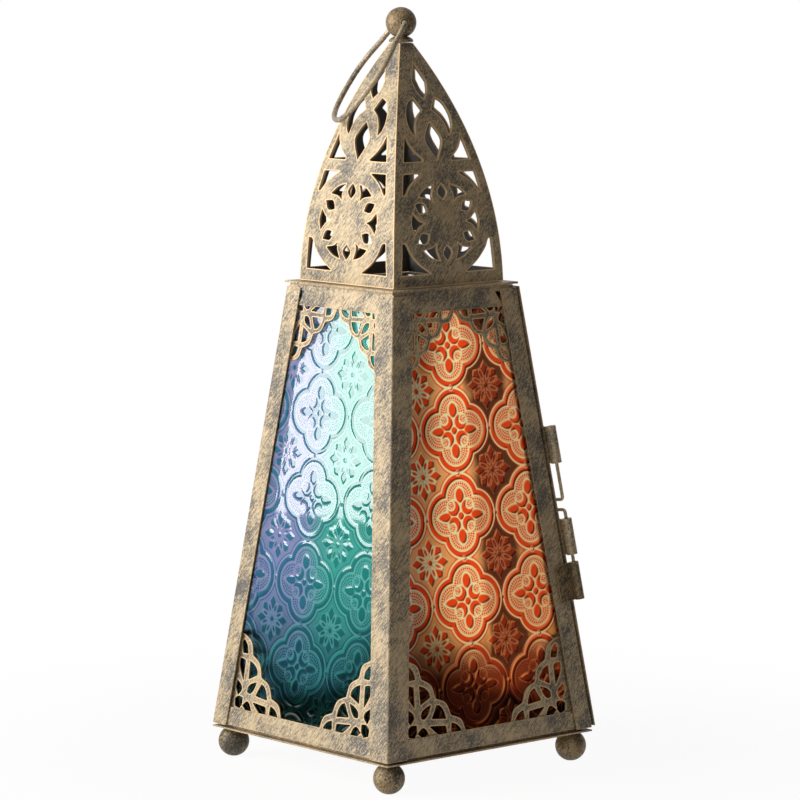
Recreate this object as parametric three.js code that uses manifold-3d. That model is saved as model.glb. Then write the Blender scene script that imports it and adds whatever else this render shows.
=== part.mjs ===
// A small pyramid lantern: four glazed walls that lean inwards, filigree corners, a pierced
// dome with a ball and a ring handle, and a door held by two hinges and a sliding bolt.
// Millimetres, +Z up. The front wall faces -Y, the left wall -X, and the door is the +X wall.
import * as THREE from 'three';
import { mergeVertices } from 'three/addons/utils/BufferGeometryUtils.js';
import Module from 'manifold-3d';

const wasm = await Module();
wasm.setup();

// Clearances and sheet thicknesses
const gap = 0.3;
const sheet = 0.5;
const doorSheet = 0.6;
const leafSheet = 0.6;

// Feet and base plate
const footRadius = 6.2;
const footFlat = 0.3;
const footInset = 6.05;
const footHeight = 11.4;
const baseInset = 0.15;
const baseThickness = 0.6;
const baseLipInset = 2.95;
const baseLipWall = 1.5;
const baseLipHeight = 1.0;

// Corner posts: angle strips whose outer corner runs from the base to the collar
const postBottomWidth = 108.2;
const postTopWidth = 64.6;
const postHeight = 176.3;
const postFlange = 8.6;
const nearPostFlange = 10.4;
const postFoldRadius = 0.8;

// Rails between the posts, with a ledge that carries the glass or the collar
const bottomRailTop = 7.6;
const topRailWidth = 8.1;
const topRailAbovePost = 1.25;
const ledgeThickness = 0.8;
const ledgeReach = 6.5;
const mitreGap = 0.25;
const notchWidth = 2.4;
const notchHeight = 5.6;

// Glass and filigree
const glassThickness = 2.4;
const glassBehindBracket = 0.7;
const glassInset = 6.4;
const glassBottomRise = 2.3;
const glassBelowTop = 1.3;
const bracketThickness = 0.6;
const bracketLeg = 3.0;
const bracketReach = 22.5;
const scallopBulge = 1.9;
const bracketBottomInset = 10.98;
const bracketTopInset = 10.5;
const bracketBelowRail = 0.1;
const bracketAboveRail = 0.5;
const topBracketScale = 0.82;
const topBracketShift = -3.83;
const frontFiligreeShift = 0.4;
const leftFiligreeShift = -1.5;

// Door: its frame lies outside the posts, its glass between them
const doorStileWidth = 11.5;
const doorEdge = 0.3;
const doorRise = 0.35;
const doorLedgeRise = 1.15;
const doorBelowTop = 1.05;
const doorSideClearance = 0.6;
const doorBracketInset = 0.6;

// Collar and dome
const collarOverhang = 0.4;
const collarSeat = 2.25;
const collarThickness = 0.8;
const domeInset = 4.15;
const domeArcRadius = 201.7;
const domeFootAngle = 0.02132;
const domeHeight = 93.7;
const domeSheet = 1.2;
const domeArcSteps = 9;
const ridgeGap = 0.21;
const ridgeBorder = 4.2;
const leftPatternShift = -1.2;

// Piercing of one dome panel: distances run up the panel from its foot
const footBand = 4.9;
const ringCentre = 24.6;
const ringSideMargin = 5.85;
const ringFootMargin = 3.55;
const ringSideBand = 5.0;
const ringRiseBand = 5.35;
const barBottom = 44.1;
const barTop = 48.9;

// Finial, ring handle
const neckRadius = 4.8;
const neckHeight = 2.0;
const ballRadius = 6.06;
const ballBore = 1.5;
const handleWire = 1.05;
const handleEnd = 3.4;
const handleShoulder = 5.2;
const handleHalfWidth = 19.7;
const handleLength = 46.0;
const handleAzimuth = 242;
const handleRest = 55.5;

// Hinges and latch: barrels on one axis outside the corner edge
const barrelRadius = 2.15;
const keeperRadius = 1.85;
const barrelOut = 3.0;
const barrelBeyond = 2.3;
const boltWire = 0.68;
const boltBore = 1.0;
const pinRadius = 0.8;
const pinHead = 1.5;
const pinHeadHeight = 0.8;
const pinBore = 1.1;
const doorLeafReach = 8.0;
const keeperReach = 5.8;
const upperKnuckle = { from: 106.6, to: 121.4 };
const lowerKnuckle = { from: 69.7, to: 84.1 };
const keeperKnuckle = { from: 51.6, to: 66.6 };
const boltEnd = 55.6;
const boltTop = 118.4;
const leverLow = 87.7;
const leverHigh = 91.8;
const leverReach = 9.0;
const leverBend = 1.3;
const hingeLength = 22.0;
const hingeLow = 34.0;
const hingeHigh = 143.0;

// Candle cup on the base plate
const cupRadius = 20.0;
const cupWall = 0.8;
const cupHeight = 8.0;

// Levels that follow from the sizes above
const baseWidth = postBottomWidth - 2 * baseInset;
const baseLipWidth = baseWidth - 2 * baseLipInset;
const footSpacing = baseWidth - 2 * footInset;
const collarWidth = postTopWidth + 2 * collarOverhang;
const domeFootWidth = collarWidth - 2 * domeInset;
const collarOpening = domeFootWidth - 2 * collarSeat;
const plateBottom = footHeight + gap;
const plateTop = plateBottom + baseThickness;
const postBottom = plateTop + baseLipHeight;
const postHalf = postBottomWidth / 2;
const slope = (postBottomWidth - postTopWidth) / 2 / postHeight;
const lean = Math.atan(slope);
const sinLean = Math.sin(lean);
const cosLean = Math.cos(lean);
const topRailHeight = (postHeight + topRailAbovePost) / cosLean;
const topRailBottom = topRailHeight - topRailWidth;
const glassTopRise = topRailHeight - glassBelowTop;
const doorTopRise = topRailHeight - doorBelowTop;
const railFace = -(sheet + gap);
const railBack = railFace - sheet;
const bracketFace = railBack - gap;
const glassFace = bracketFace - bracketThickness - glassBehindBracket;
const collarBottom = postBottom + topRailHeight * cosLean + gap;
const collarTop = collarBottom + collarThickness;
const domeFoot = collarTop + gap;
const domeFootHalf = domeFootWidth / 2;
const domeCentre = domeFoot - domeArcRadius * Math.sin(domeFootAngle);
const domeTop = domeFoot + domeHeight;
const domeTopAngle = Math.asin((domeTop - domeCentre) / domeArcRadius);
const domeArcHalf = domeFootHalf + domeArcRadius * (1 - Math.cos(domeFootAngle));
const neckBottom = domeTop + gap;
const neckTop = neckBottom + neckHeight;
const neckSeat = neckTop - 0.75;
const ballCentre = neckSeat + gap + ballRadius;

const metal = (color) => new THREE.MeshStandardMaterial({ color, metalness: 0.85, roughness: 0.5 });
const brass = metal(0xa58c60);
const darkBrass = metal(0x6b5636);
const redGlass = new THREE.MeshStandardMaterial({ color: 0xb02a18, roughness: 0.15 });
const greenGlass = new THREE.MeshStandardMaterial({ color: 0x0c6b66, roughness: 0.15 });
const amberGlass = new THREE.MeshStandardMaterial({ color: 0xc97a1a, roughness: 0.15 });
const blueGlass = new THREE.MeshStandardMaterial({ color: 0x3b3f9c, roughness: 0.15 });

const group = new THREE.Group();
group.name = 'moroccan_lantern';

const v2 = (x, y) => new THREE.Vector2(x, y);
const v3 = (x, y, z) => new THREE.Vector3(x, y, z);

// Weld a geometry into a manifold solid, turned so that its faces look outwards
function weld(geometry) {
  const bare = geometry.clone();
  bare.deleteAttribute('normal');
  bare.deleteAttribute('uv');
  const welded = mergeVertices(bare, 1e-5);
  const position = welded.getAttribute('position');
  const index = Array.from(welded.getIndex().array);
  const a = v3();
  const b = v3();
  const c = v3();
  let volume = 0;
  for (let i = 0; i < index.length; i += 3) {
    a.fromBufferAttribute(position, index[i]);
    b.fromBufferAttribute(position, index[i + 1]);
    c.fromBufferAttribute(position, index[i + 2]);
    volume += a.dot(b.cross(c));
  }
  if (volume < 0) index.reverse();
  return new wasm.Manifold(new wasm.Mesh({
    numProp: 3,
    vertProperties: Float32Array.from(position.array),
    triVerts: Uint32Array.from(index),
  }));
}

function unweld(solid) {
  const mesh = solid.getMesh();
  const geometry = new THREE.BufferGeometry();
  geometry.setAttribute('position', new THREE.BufferAttribute(mesh.vertProperties, 3));
  geometry.setIndex(new THREE.BufferAttribute(mesh.triVerts, 1));
  geometry.computeVertexNormals();
  return geometry;
}

const placed = (solid, matrix) => (matrix ? solid.transform(matrix.elements) : solid);

// Place a solid in the lantern as a named mesh, after an optional placing matrix
function add(name, solid, material, matrix) {
  const mesh = new THREE.Mesh(unweld(placed(solid, matrix)), material);
  mesh.name = name;
  group.add(mesh);
}

// Walls are numbered 0 front, 1 door, 2 back, 3 left. On a wall, u runs to the right as seen
// from outside, v up the slope and n outwards from the posts' outer face.
const turn = (wall) => new THREE.Matrix4().makeRotationZ(wall * Math.PI / 2);

function wallMatrix(wall) {
  return turn(wall)
    .multiply(new THREE.Matrix4().makeTranslation(0, -postHalf, postBottom))
    .multiply(new THREE.Matrix4().makeRotationX(Math.PI / 2 - lean));
}

// Distance from the lantern's axis and height of a point at (v, n) on any wall
const outAt = (v, n) => postHalf - v * sinLean + n * cosLean;
const heightAt = (v, n) => postBottom + v * cosLean + n * sinLean;
const riseAt = (z, n) => (z - postBottom - n * sinLean) / cosLean;

// A shape from its corner points, in either order, as extrusion needs it: counterclockwise
function outline(points, holes = []) {
  const ordered = THREE.ShapeUtils.isClockWise(points) ? [...points].reverse() : points;
  const shape = new THREE.Shape(ordered);
  holes.forEach((hole) => shape.holes.push(new THREE.Path(hole)));
  return shape;
}

// A flat piece on a wall, cut from a shape in (u, v), between two levels of n
function flat(shape, near, far) {
  const geometry = new THREE.ExtrudeGeometry(shape, { depth: far - near, bevelEnabled: false });
  geometry.translate(0, 0, near);
  return weld(geometry);
}

function box(x0, x1, y0, y1, z0, z1) {
  const geometry = new THREE.BoxGeometry(x1 - x0, y1 - y0, z1 - z0);
  geometry.translate((x0 + x1) / 2, (y0 + y1) / 2, (z0 + z1) / 2);
  return weld(geometry);
}

// A level square plate or ring round the lantern's axis
function square(width, opening, z0, z1) {
  const side = (w) => [v2(-w / 2, -w / 2), v2(w / 2, -w / 2), v2(w / 2, w / 2), v2(-w / 2, w / 2)];
  return flat(outline(side(width), opening ? [side(opening).reverse()] : []), z0, z1);
}

// A strip along the front wall from a profile of (distance out, height) points. Its ends are
// cut along the corner's mitre, so that four turned copies close into a square.
function band(profile, clearance) {
  const geometry = new THREE.ExtrudeGeometry(outline(profile), { depth: 1, bevelEnabled: false });
  const position = geometry.getAttribute('position');
  for (let i = 0; i < position.count; i += 1) {
    const out = position.getX(i);
    const height = position.getY(i);
    const side = 2 * position.getZ(i) - 1;
    position.setXYZ(i, side * (out - clearance), -out, height);
  }
  return weld(geometry);
}

// A turned piece from a profile of (radius, height) points that starts and ends on the axis
function turned(profile, steps) {
  const geometry = new THREE.LatheGeometry(profile, steps);
  geometry.rotateX(Math.PI / 2);
  return weld(geometry);
}

function rod(radius, z0, z1, sides) {
  return turned([v2(0, z0), v2(radius, z0), v2(radius, z1), v2(0, z1)], sides);
}

// Round wire along a path in the XY plane, with flat ends
function wire(path, radius, sides) {
  const position = [];
  const index = [];
  path.forEach((point, i) => {
    const before = path[Math.max(i - 1, 0)];
    const after = path[Math.min(i + 1, path.length - 1)];
    const along = after.clone().sub(before).normalize();
    for (let j = 0; j < sides; j += 1) {
      const angle = 2 * Math.PI * j / sides;
      const across = radius * Math.cos(angle);
      position.push(point.x - along.y * across, point.y + along.x * across, radius * Math.sin(angle));
    }
  });
  const last = (path.length - 1) * sides;
  for (let i = 0; i < last; i += sides) {
    for (let j = 0; j < sides; j += 1) {
      const next = (j + 1) % sides;
      index.push(i + j, i + next, i + sides + j);
      index.push(i + next, i + sides + next, i + sides + j);
    }
  }
  for (let j = 1; j < sides - 1; j += 1) {
    index.push(0, j + 1, j);
    index.push(last, last + j, last + j + 1);
  }
  const geometry = new THREE.BufferGeometry();
  geometry.setAttribute('position', new THREE.Float32BufferAttribute(position, 3));
  geometry.setIndex(index);
  return weld(geometry);
}

const mirrored = (points) => points.map((p) => v2(-p.x, p.y)).reverse();

// Feet: balls cut level where they stand and where they meet the plate
const footProfile = [v2(0, 0)];
const footCentre = footRadius - footFlat;
const footLow = Math.acos(footCentre / footRadius);
const footHigh = Math.PI - Math.acos((footHeight - footCentre) / footRadius);
for (let i = 0; i <= 7; i += 1) {
  const angle = footLow + (footHigh - footLow) * i / 7;
  footProfile.push(v2(footRadius * Math.sin(angle), footCentre - footRadius * Math.cos(angle)));
}
footProfile.push(v2(0, footHeight));
const foot = turned(footProfile, 18);
[['front_left', -1, -1], ['front_right', 1, -1], ['back_right', 1, 1], ['back_left', -1, 1]].forEach(
  ([corner, x, y]) => {
    add(`foot_${corner}`, foot.translate([x * footSpacing / 2, y * footSpacing / 2, 0]), brass);
  },
);

// Base plate with a raised lip under the rails
const lip = square(baseLipWidth, baseLipWidth - 2 * baseLipWall, plateBottom + baseThickness / 2, postBottom);
add('base_plate', square(baseWidth, 0, plateBottom, plateTop).add(lip), brass);

// Posts: an angle with a rounded fold, sheared along the corner edge
const fold = [];
for (let i = 0; i <= 3; i += 1) {
  const angle = -Math.PI / 2 + Math.PI / 2 * i / 3;
  const centre = postHalf - postFoldRadius;
  fold.push(v2(centre + postFoldRadius * Math.cos(angle), -centre + postFoldRadius * Math.sin(angle)));
}
const shear = new THREE.Matrix4().set(1, 0, -slope, 0, 0, 1, slope, 0, 0, 0, 1, postBottom, 0, 0, 0, 1);
function post(flange) {
  const shape = outline([
    v2(postHalf - flange, -postHalf),
    ...fold,
    v2(postHalf, -postHalf + flange),
    v2(postHalf - sheet, -postHalf + flange),
    v2(postHalf - sheet, -postHalf + sheet),
    v2(postHalf - flange, -postHalf + sheet),
  ]);
  const geometry = new THREE.ExtrudeGeometry(shape, { depth: postHeight, bevelEnabled: false });
  return weld(geometry.applyMatrix4(shear));
}
['front_right', 'back_right', 'back_left', 'front_left'].forEach((corner, wall) => {
  add(`post_${corner}`, post(wall === 3 ? nearPostFlange : postFlange), brass, turn(wall));
});

// Rails: a strip behind the post flanges with a level ledge at one edge
const ledgeLow = postBottom + gap;
const ledgeIn = outAt(0, railBack) - ledgeReach;
const bottomRail = band([
  v2(outAt(riseAt(ledgeLow, railFace), railFace), ledgeLow),
  v2(outAt(bottomRailTop, railFace), heightAt(bottomRailTop, railFace)),
  v2(outAt(bottomRailTop, railBack), heightAt(bottomRailTop, railBack)),
  v2(outAt(riseAt(ledgeLow + ledgeThickness, railBack), railBack), ledgeLow + ledgeThickness),
  v2(ledgeIn, ledgeLow + ledgeThickness),
  v2(ledgeIn, ledgeLow),
], mitreGap);
const ledgeHigh = collarBottom - gap;
const topLedgeIn = outAt(topRailHeight, railBack) - ledgeReach;
const topRail = band([
  v2(outAt(topRailBottom, railFace), heightAt(topRailBottom, railFace)),
  v2(outAt(riseAt(ledgeHigh, railFace), railFace), ledgeHigh),
  v2(topLedgeIn, ledgeHigh),
  v2(topLedgeIn, ledgeHigh - ledgeThickness),
  v2(outAt(riseAt(ledgeHigh - ledgeThickness, railBack), railBack), ledgeHigh - ledgeThickness),
  v2(outAt(topRailBottom, railBack), heightAt(topRailBottom, railBack)),
], mitreGap);

// Edge of a post's flange on a wall at height v, and a slanted notch beside it in a top rail
const flangeEdge = (v) => postHalf - postFlange - v * sinLean;
function notch(side) {
  const low = topRailBottom + 0.4;
  const high = low + notchHeight;
  const points = [
    v2(flangeEdge(low) + 0.2, low),
    v2(flangeEdge(low) + 2.5, low),
    v2(flangeEdge(low) + 2.5, high),
    v2(flangeEdge(high) - notchWidth, high),
  ];
  const cut = flat(outline(side > 0 ? points : mirrored(points)), railBack - 0.5, railFace + 0.5);
  return placed(cut, wallMatrix(0));
}
[['front', 0, 1], ['back', 2, 1], ['left', 3, -1]].forEach(([name, wall, farSide]) => {
  add(`bottom_rail_${name}`, bottomRail, brass, turn(wall));
  add(`top_rail_${name}`, topRail.subtract(notch(farSide)), brass, turn(wall));
});

// Glass: a plain leaning pane behind the posts
function trapezium(low, high, inset) {
  const half = (v) => postHalf - inset - v * sinLean;
  return outline([v2(-half(low), low), v2(half(low), low), v2(half(high), high), v2(-half(high), high)]);
}
function pane(inset, low, high, face) {
  return flat(trapezium(low, high, inset), face - glassThickness, face);
}
const wallPane = pane(glassInset, glassBottomRise, glassTopRise, glassFace);
add('glass_front', wallPane, redGlass, wallMatrix(0));
add('glass_back', wallPane, blueGlass, wallMatrix(2));
add('glass_left', wallPane, greenGlass, wallMatrix(3));

// Filigree bracket, drawn from the window's corner in shares of its reach: a along the corner's
// bisector, c across it. The free edge is four scallops. The legs run behind the rail and the post.
const scallops = [[1, 0.8978], [0.9733, 0.4622], [0.9467, 0], [0.9733, -0.4622], [1, -0.8978]];
const sideHoles = [
  [[0.6444, 0.1778], [0.8844, 0.1022], [0.9244, 0.1778], [0.9244, 0.2844],
    [0.8578, 0.4133], [0.7511, 0.3067]],
  [[0.5111, 0.24], [0.64, 0.3467], [0.7556, 0.4978], [0.6978, 0.5511],
    [0.6489, 0.6178], [0.5867, 0.5511], [0.5733, 0.4178]],
  [[0.24, 0.1156], [0.3733, 0.1289], [0.4, 0.2133], [0.3733, 0.3511], [0.2667, 0.2667]],
  [[0.7778, 0.6533], [0.8844, 0.5644], [0.9422, 0.68], [0.9378, 0.8133], [0.8622, 0.8267]],
];
const axisHoles = [
  [[0.48, 0], [0.5289, 0.0533], [0.5911, 0.0667], [0.68, 0.0489],
    [0.7911, 0], [0.68, -0.0489], [0.5911, -0.0667], [0.5289, -0.0533]],
  [[0.0622, 0], [0.1333, 0.1022], [0.2311, 0.0844], [0.32, 0],
    [0.2311, -0.0844], [0.1333, -0.1022]],
];

function bracketShape(top, side, inset, shift) {
  const scale = bracketReach * (top ? topBracketScale : 1);
  const move = top ? topBracketShift : 0;
  const up = top ? -1 : 1;
  const half = (top ? Math.PI / 2 + lean : Math.PI / 2 - lean) / 2;
  const cornerV = top ? topRailBottom - bracketAboveRail : bottomRailTop - bracketBelowRail;
  const cornerInset = (top ? bracketTopInset : bracketBottomInset) + inset;
  const cornerU = postHalf - cornerV * sinLean - cornerInset;
  // Directions of the bisector and of the way across it, the rail on the positive side
  const bisector = v2(-Math.cos(half), up * Math.sin(half));
  const across = v2(-Math.sin(half), -up * Math.cos(half));
  const place = ([a, c]) => {
    const along = a * scale + move;
    const u = cornerU + bisector.x * along + across.x * c * scale;
    return v2(side * u + shift, cornerV + bisector.y * along + across.y * c * scale);
  };
  const edge = [];
  for (let i = 0; i < scallops.length - 1; i += 1) {
    const [a0, c0] = scallops[i];
    const [a1, c1] = scallops[i + 1];
    const length = Math.hypot(a1 - a0, c1 - c0);
    for (let j = 0; j < 4; j += 1) {
      const t = j / 4;
      const bulge = 4 * scallopBulge / bracketReach * t * (1 - t);
      const normal = [(c0 - c1) / length, (a1 - a0) / length];
      edge.push([a0 + (a1 - a0) * t + normal[0] * bulge, c0 + (c1 - c0) * t + normal[1] * bulge]);
    }
  }
  edge.push(scallops[scallops.length - 1]);
  // The legs' hidden edges run beside the rail's and the post's, and meet behind the corner
  const leg = bracketLeg / scale;
  const tip = scallops[0];
  const legTip = [tip[0] - leg * Math.sin(half), tip[1] + leg * Math.cos(half)];
  const meet = [-leg / Math.sin(half) - move / scale, 0];
  const points = [...edge, [legTip[0], -legTip[1]], meet, legTip].map(place);
  const holes = [...axisHoles, ...sideHoles, ...sideHoles.map((hole) => hole.map(([a, c]) => [a, -c]))];
  const paths = holes.map((hole) => hole.map(place));
  return outline(points, paths);
}

const corners = [
  ['bottom_left', false, -1],
  ['bottom_right', false, 1],
  ['top_left', true, -1],
  ['top_right', true, 1],
];
const filigreeWalls = [['front', 0, frontFiligreeShift], ['back', 2, 0], ['left', 3, leftFiligreeShift]];
filigreeWalls.forEach(([name, wall, shift]) => {
  corners.forEach(([corner, top, side]) => {
    const shape = bracketShape(top, side, 0, shift);
    const piece = flat(shape, bracketFace - bracketThickness, bracketFace);
    add(`filigree_${name}_${corner}`, piece, brass, wallMatrix(wall));
  });
});

// Door: rails against the posts, stiles over them, glass and filigree in the opening
const doorRailFace = gap + doorSheet;
const doorStileBack = doorRailFace + gap;
const doorFace = doorStileBack + doorSheet;
const openingEdge = postFlange + doorSideClearance;
const doorMatrix = wallMatrix(1);
const doorStrip = (inset0, inset1, low, high) => outline([
  v2(postHalf - inset1 - low * sinLean, low),
  v2(postHalf - inset0 - low * sinLean, low),
  v2(postHalf - inset0 - high * sinLean, high),
  v2(postHalf - inset1 - high * sinLean, high),
]);
const hingeStile = flat(doorStrip(doorEdge, doorStileWidth, doorRise, doorTopRise), doorStileBack, doorFace);
add('door_stile_hinge', hingeStile, brass, doorMatrix);
add('door_stile_latch', hingeStile.mirror([1, 0, 0]), brass, doorMatrix);
const doorBracketFace = -0.1;
const doorGlassFace = doorBracketFace - bracketThickness - glassBehindBracket;
function doorRail(low, high, ledge) {
  const face = flat(trapezium(low, high, doorEdge + 1), gap, doorRailFace);
  const shelf = trapezium(ledge, ledge + ledgeThickness, openingEdge);
  return face.add(flat(shelf, doorGlassFace - glassThickness, gap + 0.1));
}
add('door_rail_bottom', doorRail(doorRise, bottomRailTop, doorLedgeRise), brass, doorMatrix);
add('door_rail_top', doorRail(topRailBottom, doorTopRise, doorTopRise - ledgeThickness), brass, doorMatrix);
const doorPaneLow = doorLedgeRise + ledgeThickness + gap;
const doorPaneHigh = doorTopRise - ledgeThickness - gap;
const doorPane = pane(openingEdge, doorPaneLow, doorPaneHigh, doorGlassFace);
add('glass_door', doorPane, amberGlass, doorMatrix);

// The door's filigree stops short of the posts, where a narrow leg closes it
corners.forEach(([corner, top, side]) => {
  const shape = bracketShape(top, side, doorBracketInset, 0);
  const rises = shape.getPoints().map((point) => point.y);
  const from = Math.min(...rises);
  const to = Math.max(...rises);
  const near = doorBracketFace - bracketThickness;
  const opening = flat(trapezium(from, to, openingEdge), near, doorBracketFace);
  const strip = doorStrip(openingEdge, openingEdge + 1, from, to);
  const leg = flat(side > 0 ? strip : outline(mirrored(strip.getPoints())), near, doorBracketFace);
  const piece = flat(shape, near, doorBracketFace).intersect(opening).add(leg);
  add(`filigree_door_${corner}`, piece, brass, doorMatrix);
});

// Collar: a thin square plate, open in the middle, on the rails' ledges
add('collar_plate', square(collarWidth, collarOpening, collarBottom, collarTop), brass);

// Dome: one curved sheet per side, mitred at the ridges, pierced from one pattern. A point of
// the pattern is (u, s), with s measured along the arc from the foot.
const arcAngle = (s) => domeFootAngle + s / domeArcRadius;
const arcPoint = (angle, n) => v2(
  domeArcHalf - domeArcRadius + (domeArcRadius + n) * Math.cos(angle),
  domeCentre + (domeArcRadius + n) * Math.sin(angle),
);
const ridgeAt = (s) => arcPoint(arcAngle(s), 0).x;
const borderAt = (s) => ridgeAt(s) - ridgeBorder;
const ringOuterHalf = domeFootHalf - ringSideMargin;
const ringOuterRise = ringCentre - ringFootMargin;
const ringInnerHalf = ringOuterHalf - ringSideBand;
const ringInnerRise = ringOuterRise - ringRiseBand;
const ringPoint = (share, sign) => v2(
  share * ringOuterHalf,
  ringCentre + sign * ringOuterRise * Math.sqrt(1 - share ** 2),
);

function petal(angle, points) {
  const cos = Math.cos(angle);
  const sin = Math.sin(angle);
  return points.map(([r, w]) => v2(
    ringInnerHalf * (r * cos - w * sin),
    ringCentre + ringInnerRise * (r * sin + w * cos),
  ));
}
const rosetteDiamond = [[0.57, 0], [0.78, -0.13], [0.97, 0], [0.78, 0.13]];
const rosetteFan = [[0.61, 0], [0.76, -0.09], [0.932, -0.267], [0.985, 0], [0.932, 0.267], [0.76, 0.09]];
const cutouts = [];
for (let i = 0; i < 6; i += 1) {
  cutouts.push(petal(Math.PI / 2 + i * Math.PI / 3, rosetteDiamond));
  cutouts.push(petal(i * Math.PI / 3, rosetteFan));
}
// Above the bar a cut-out's points are shares of the way up to the panel's top and of the way
// across to the ridge border
const panelLength = domeArcRadius * (domeTopAngle - domeFootAngle);
const across = (share, s) => v2(share * borderAt(s), s);
const upper = (share, rise) => across(share, barTop + rise * (panelLength - barTop));
const sides = [
  [across(1, footBand), across(1, ringCentre - 0.356 * ringOuterRise),
    ...[0.925, 0.771, 0.595].map((share) => ringPoint(share, -1)), across(0.38, footBand)],
  [across(1, ringCentre + 0.551 * ringOuterRise), across(1, barBottom), across(0.51, barBottom),
    ...[0.595, 0.749].map((share) => ringPoint(share, 1))],
  [upper(1, 0), upper(1, 0.208), upper(0.835, 0.153), upper(0.676, 0.088), upper(0.47, 0.03),
    upper(0.459, 0)],
  [upper(0.612, 0.515), upper(0.271, 0.417), upper(0.59, 0.342), upper(0.63, 0.263), upper(0.615, 0.2),
    upper(0.801, 0.25), upper(1, 0.342), upper(1, 0.43)],
];
sides.forEach((points) => cutouts.push(points, mirrored(points)));
const axisCutouts = [
  [upper(0, 0), upper(0.276, 0.159), upper(0.18, 0.25), upper(0, 0.313), upper(-0.18, 0.25),
    upper(-0.276, 0.159)],
  [upper(0, 0.515), upper(0.642, 0.657), upper(0, 0.82), upper(-0.642, 0.657)],
];
cutouts.push(...axisCutouts);

// The pattern may lean sideways on a panel: shift is how far, from the ring's centre upwards
function piercing(points, shift) {
  const geometry = new THREE.ExtrudeGeometry(outline(points), { depth: 1, bevelEnabled: false });
  const position = geometry.getAttribute('position');
  for (let i = 0; i < position.count; i += 1) {
    const level = position.getZ(i) > 0.5 ? 1.5 : -domeSheet - 1.5;
    const rise = position.getY(i);
    const place = arcPoint(arcAngle(rise), level);
    const side = position.getX(i) + shift * Math.min(1, rise / ringCentre);
    position.setXYZ(i, side, -place.x, place.y);
  }
  return weld(geometry);
}

const panelProfile = [];
for (let i = 0; i <= domeArcSteps; i += 1) {
  panelProfile.push(arcPoint(domeFootAngle + (domeTopAngle - domeFootAngle) * i / domeArcSteps, 0));
}
for (let i = domeArcSteps; i >= 0; i -= 1) {
  panelProfile.push(arcPoint(domeFootAngle + (domeTopAngle - domeFootAngle) * i / domeArcSteps, -domeSheet));
}
const panel = band(panelProfile, ridgeGap);
const panels = [['front', 0, 0], ['right', 1, 0], ['back', 2, 0], ['left', 3, leftPatternShift]];
panels.forEach(([name, wall, shift]) => {
  const cuts = cutouts.map((points) => piercing(points, shift));
  add(`dome_panel_${name}`, wasm.Manifold.difference([panel, ...cuts]), brass, turn(wall));
});

// Finial: a dark neck that cups a ball, and the ball bored through for the handle
const neckProfile = [v2(0, neckBottom), v2(neckRadius, neckBottom), v2(neckRadius, neckBottom + 0.8),
  v2(3.2, neckTop), v2(0, neckSeat)];
add('finial_neck', turned(neckProfile, 16), darkBrass);
const ballProfile = [];
for (let i = 0; i <= 10; i += 1) {
  const angle = Math.PI * i / 10;
  ballProfile.push(v2(i % 10 ? ballRadius * Math.sin(angle) : 0, ballCentre - ballRadius * Math.cos(angle)));
}
const handleTurn = handleAzimuth * Math.PI / 180;
const handleAxis = v3(Math.cos(handleTurn), Math.sin(handleTurn), 0);
const bore = rod(ballBore, -ballRadius - 1, ballRadius + 1, 10)
  .rotate([0, 90, handleAzimuth]).translate([0, 0, ballCentre]);
add('finial_ball', turned(ballProfile, 20).subtract(bore), brass);

// Ring handle: half of the loop's path in shares of its half width and length (along the pivot,
// away from it), mirrored
const handleHalf = [
  [0.335, 0], [0.391, 0.011], [0.421, 0.037], [0.523, 0.104],
  [0.650, 0.204], [0.843, 0.317], [0.975, 0.439], [1, 0.565],
  [0.929, 0.700], [0.802, 0.822], [0.619, 0.913], [0.335, 0.980],
];
const handleSide = handleHalf.map(([w, q]) => v2(w * handleHalfWidth, q * handleLength));
const handlePath = [...handleSide, v2(0, handleLength), ...mirrored(handleSide)];
const handleCurve = new THREE.SplineCurve(handlePath).getPoints(44);
const handleWhole = [v2(handleEnd, 0), v2(handleShoulder, 0), ...handleCurve, v2(-handleShoulder, 0),
  v2(-handleEnd, 0)];
const droop = handleRest * Math.PI / 180;
const hang = v3(-Math.sin(handleTurn), Math.cos(handleTurn), 0).multiplyScalar(-Math.cos(droop));
hang.z = -Math.sin(droop);
const handleFrame = new THREE.Matrix4().makeBasis(handleAxis, hang, handleAxis.clone().cross(hang));
handleFrame.setPosition(0, 0, ballCentre);
add('ring_handle', wire(handleWhole, handleWire, 8), brass, handleFrame);

// Fittings at a corner edge. The frame's x is out of the wall, y along the wall away from its
// middle, z up the edge. end is +1 for a wall's right edge as seen from outside and -1 for its left.
function edgeFrame(wall, end) {
  const matrix = wallMatrix(wall);
  const up = v3(-end * sinLean, 1, 0).normalize();
  const out = v3(0, 0, 1);
  const away = up.clone().cross(out).multiplyScalar(-end < 0 ? 1 : -1);
  const basis = new THREE.Matrix4().makeBasis(out, away, up);
  basis.setPosition(end * postHalf, 0, 0);
  return matrix.multiply(basis);
}
const alongEdge = (v) => v * Math.hypot(1, sinLean);

function leafOnEdge(radius, reach, level, from, to, bore, axisOut, axisBeyond) {
  const z0 = alongEdge(from);
  const z1 = alongEdge(to);
  const barrel = rod(radius, z0, z1, 18).translate([axisOut, axisBeyond, 0]);
  const leaf = box(level, level + leafSheet, -reach, axisBeyond, z0, z1);
  const hole = rod(bore, z0 - 1, z1 + 1, 12).translate([axisOut, axisBeyond, 0]);
  return barrel.add(leaf).subtract(hole);
}
const doorLeafLevel = doorFace + gap;
const postLeafLevel = gap;

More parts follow.
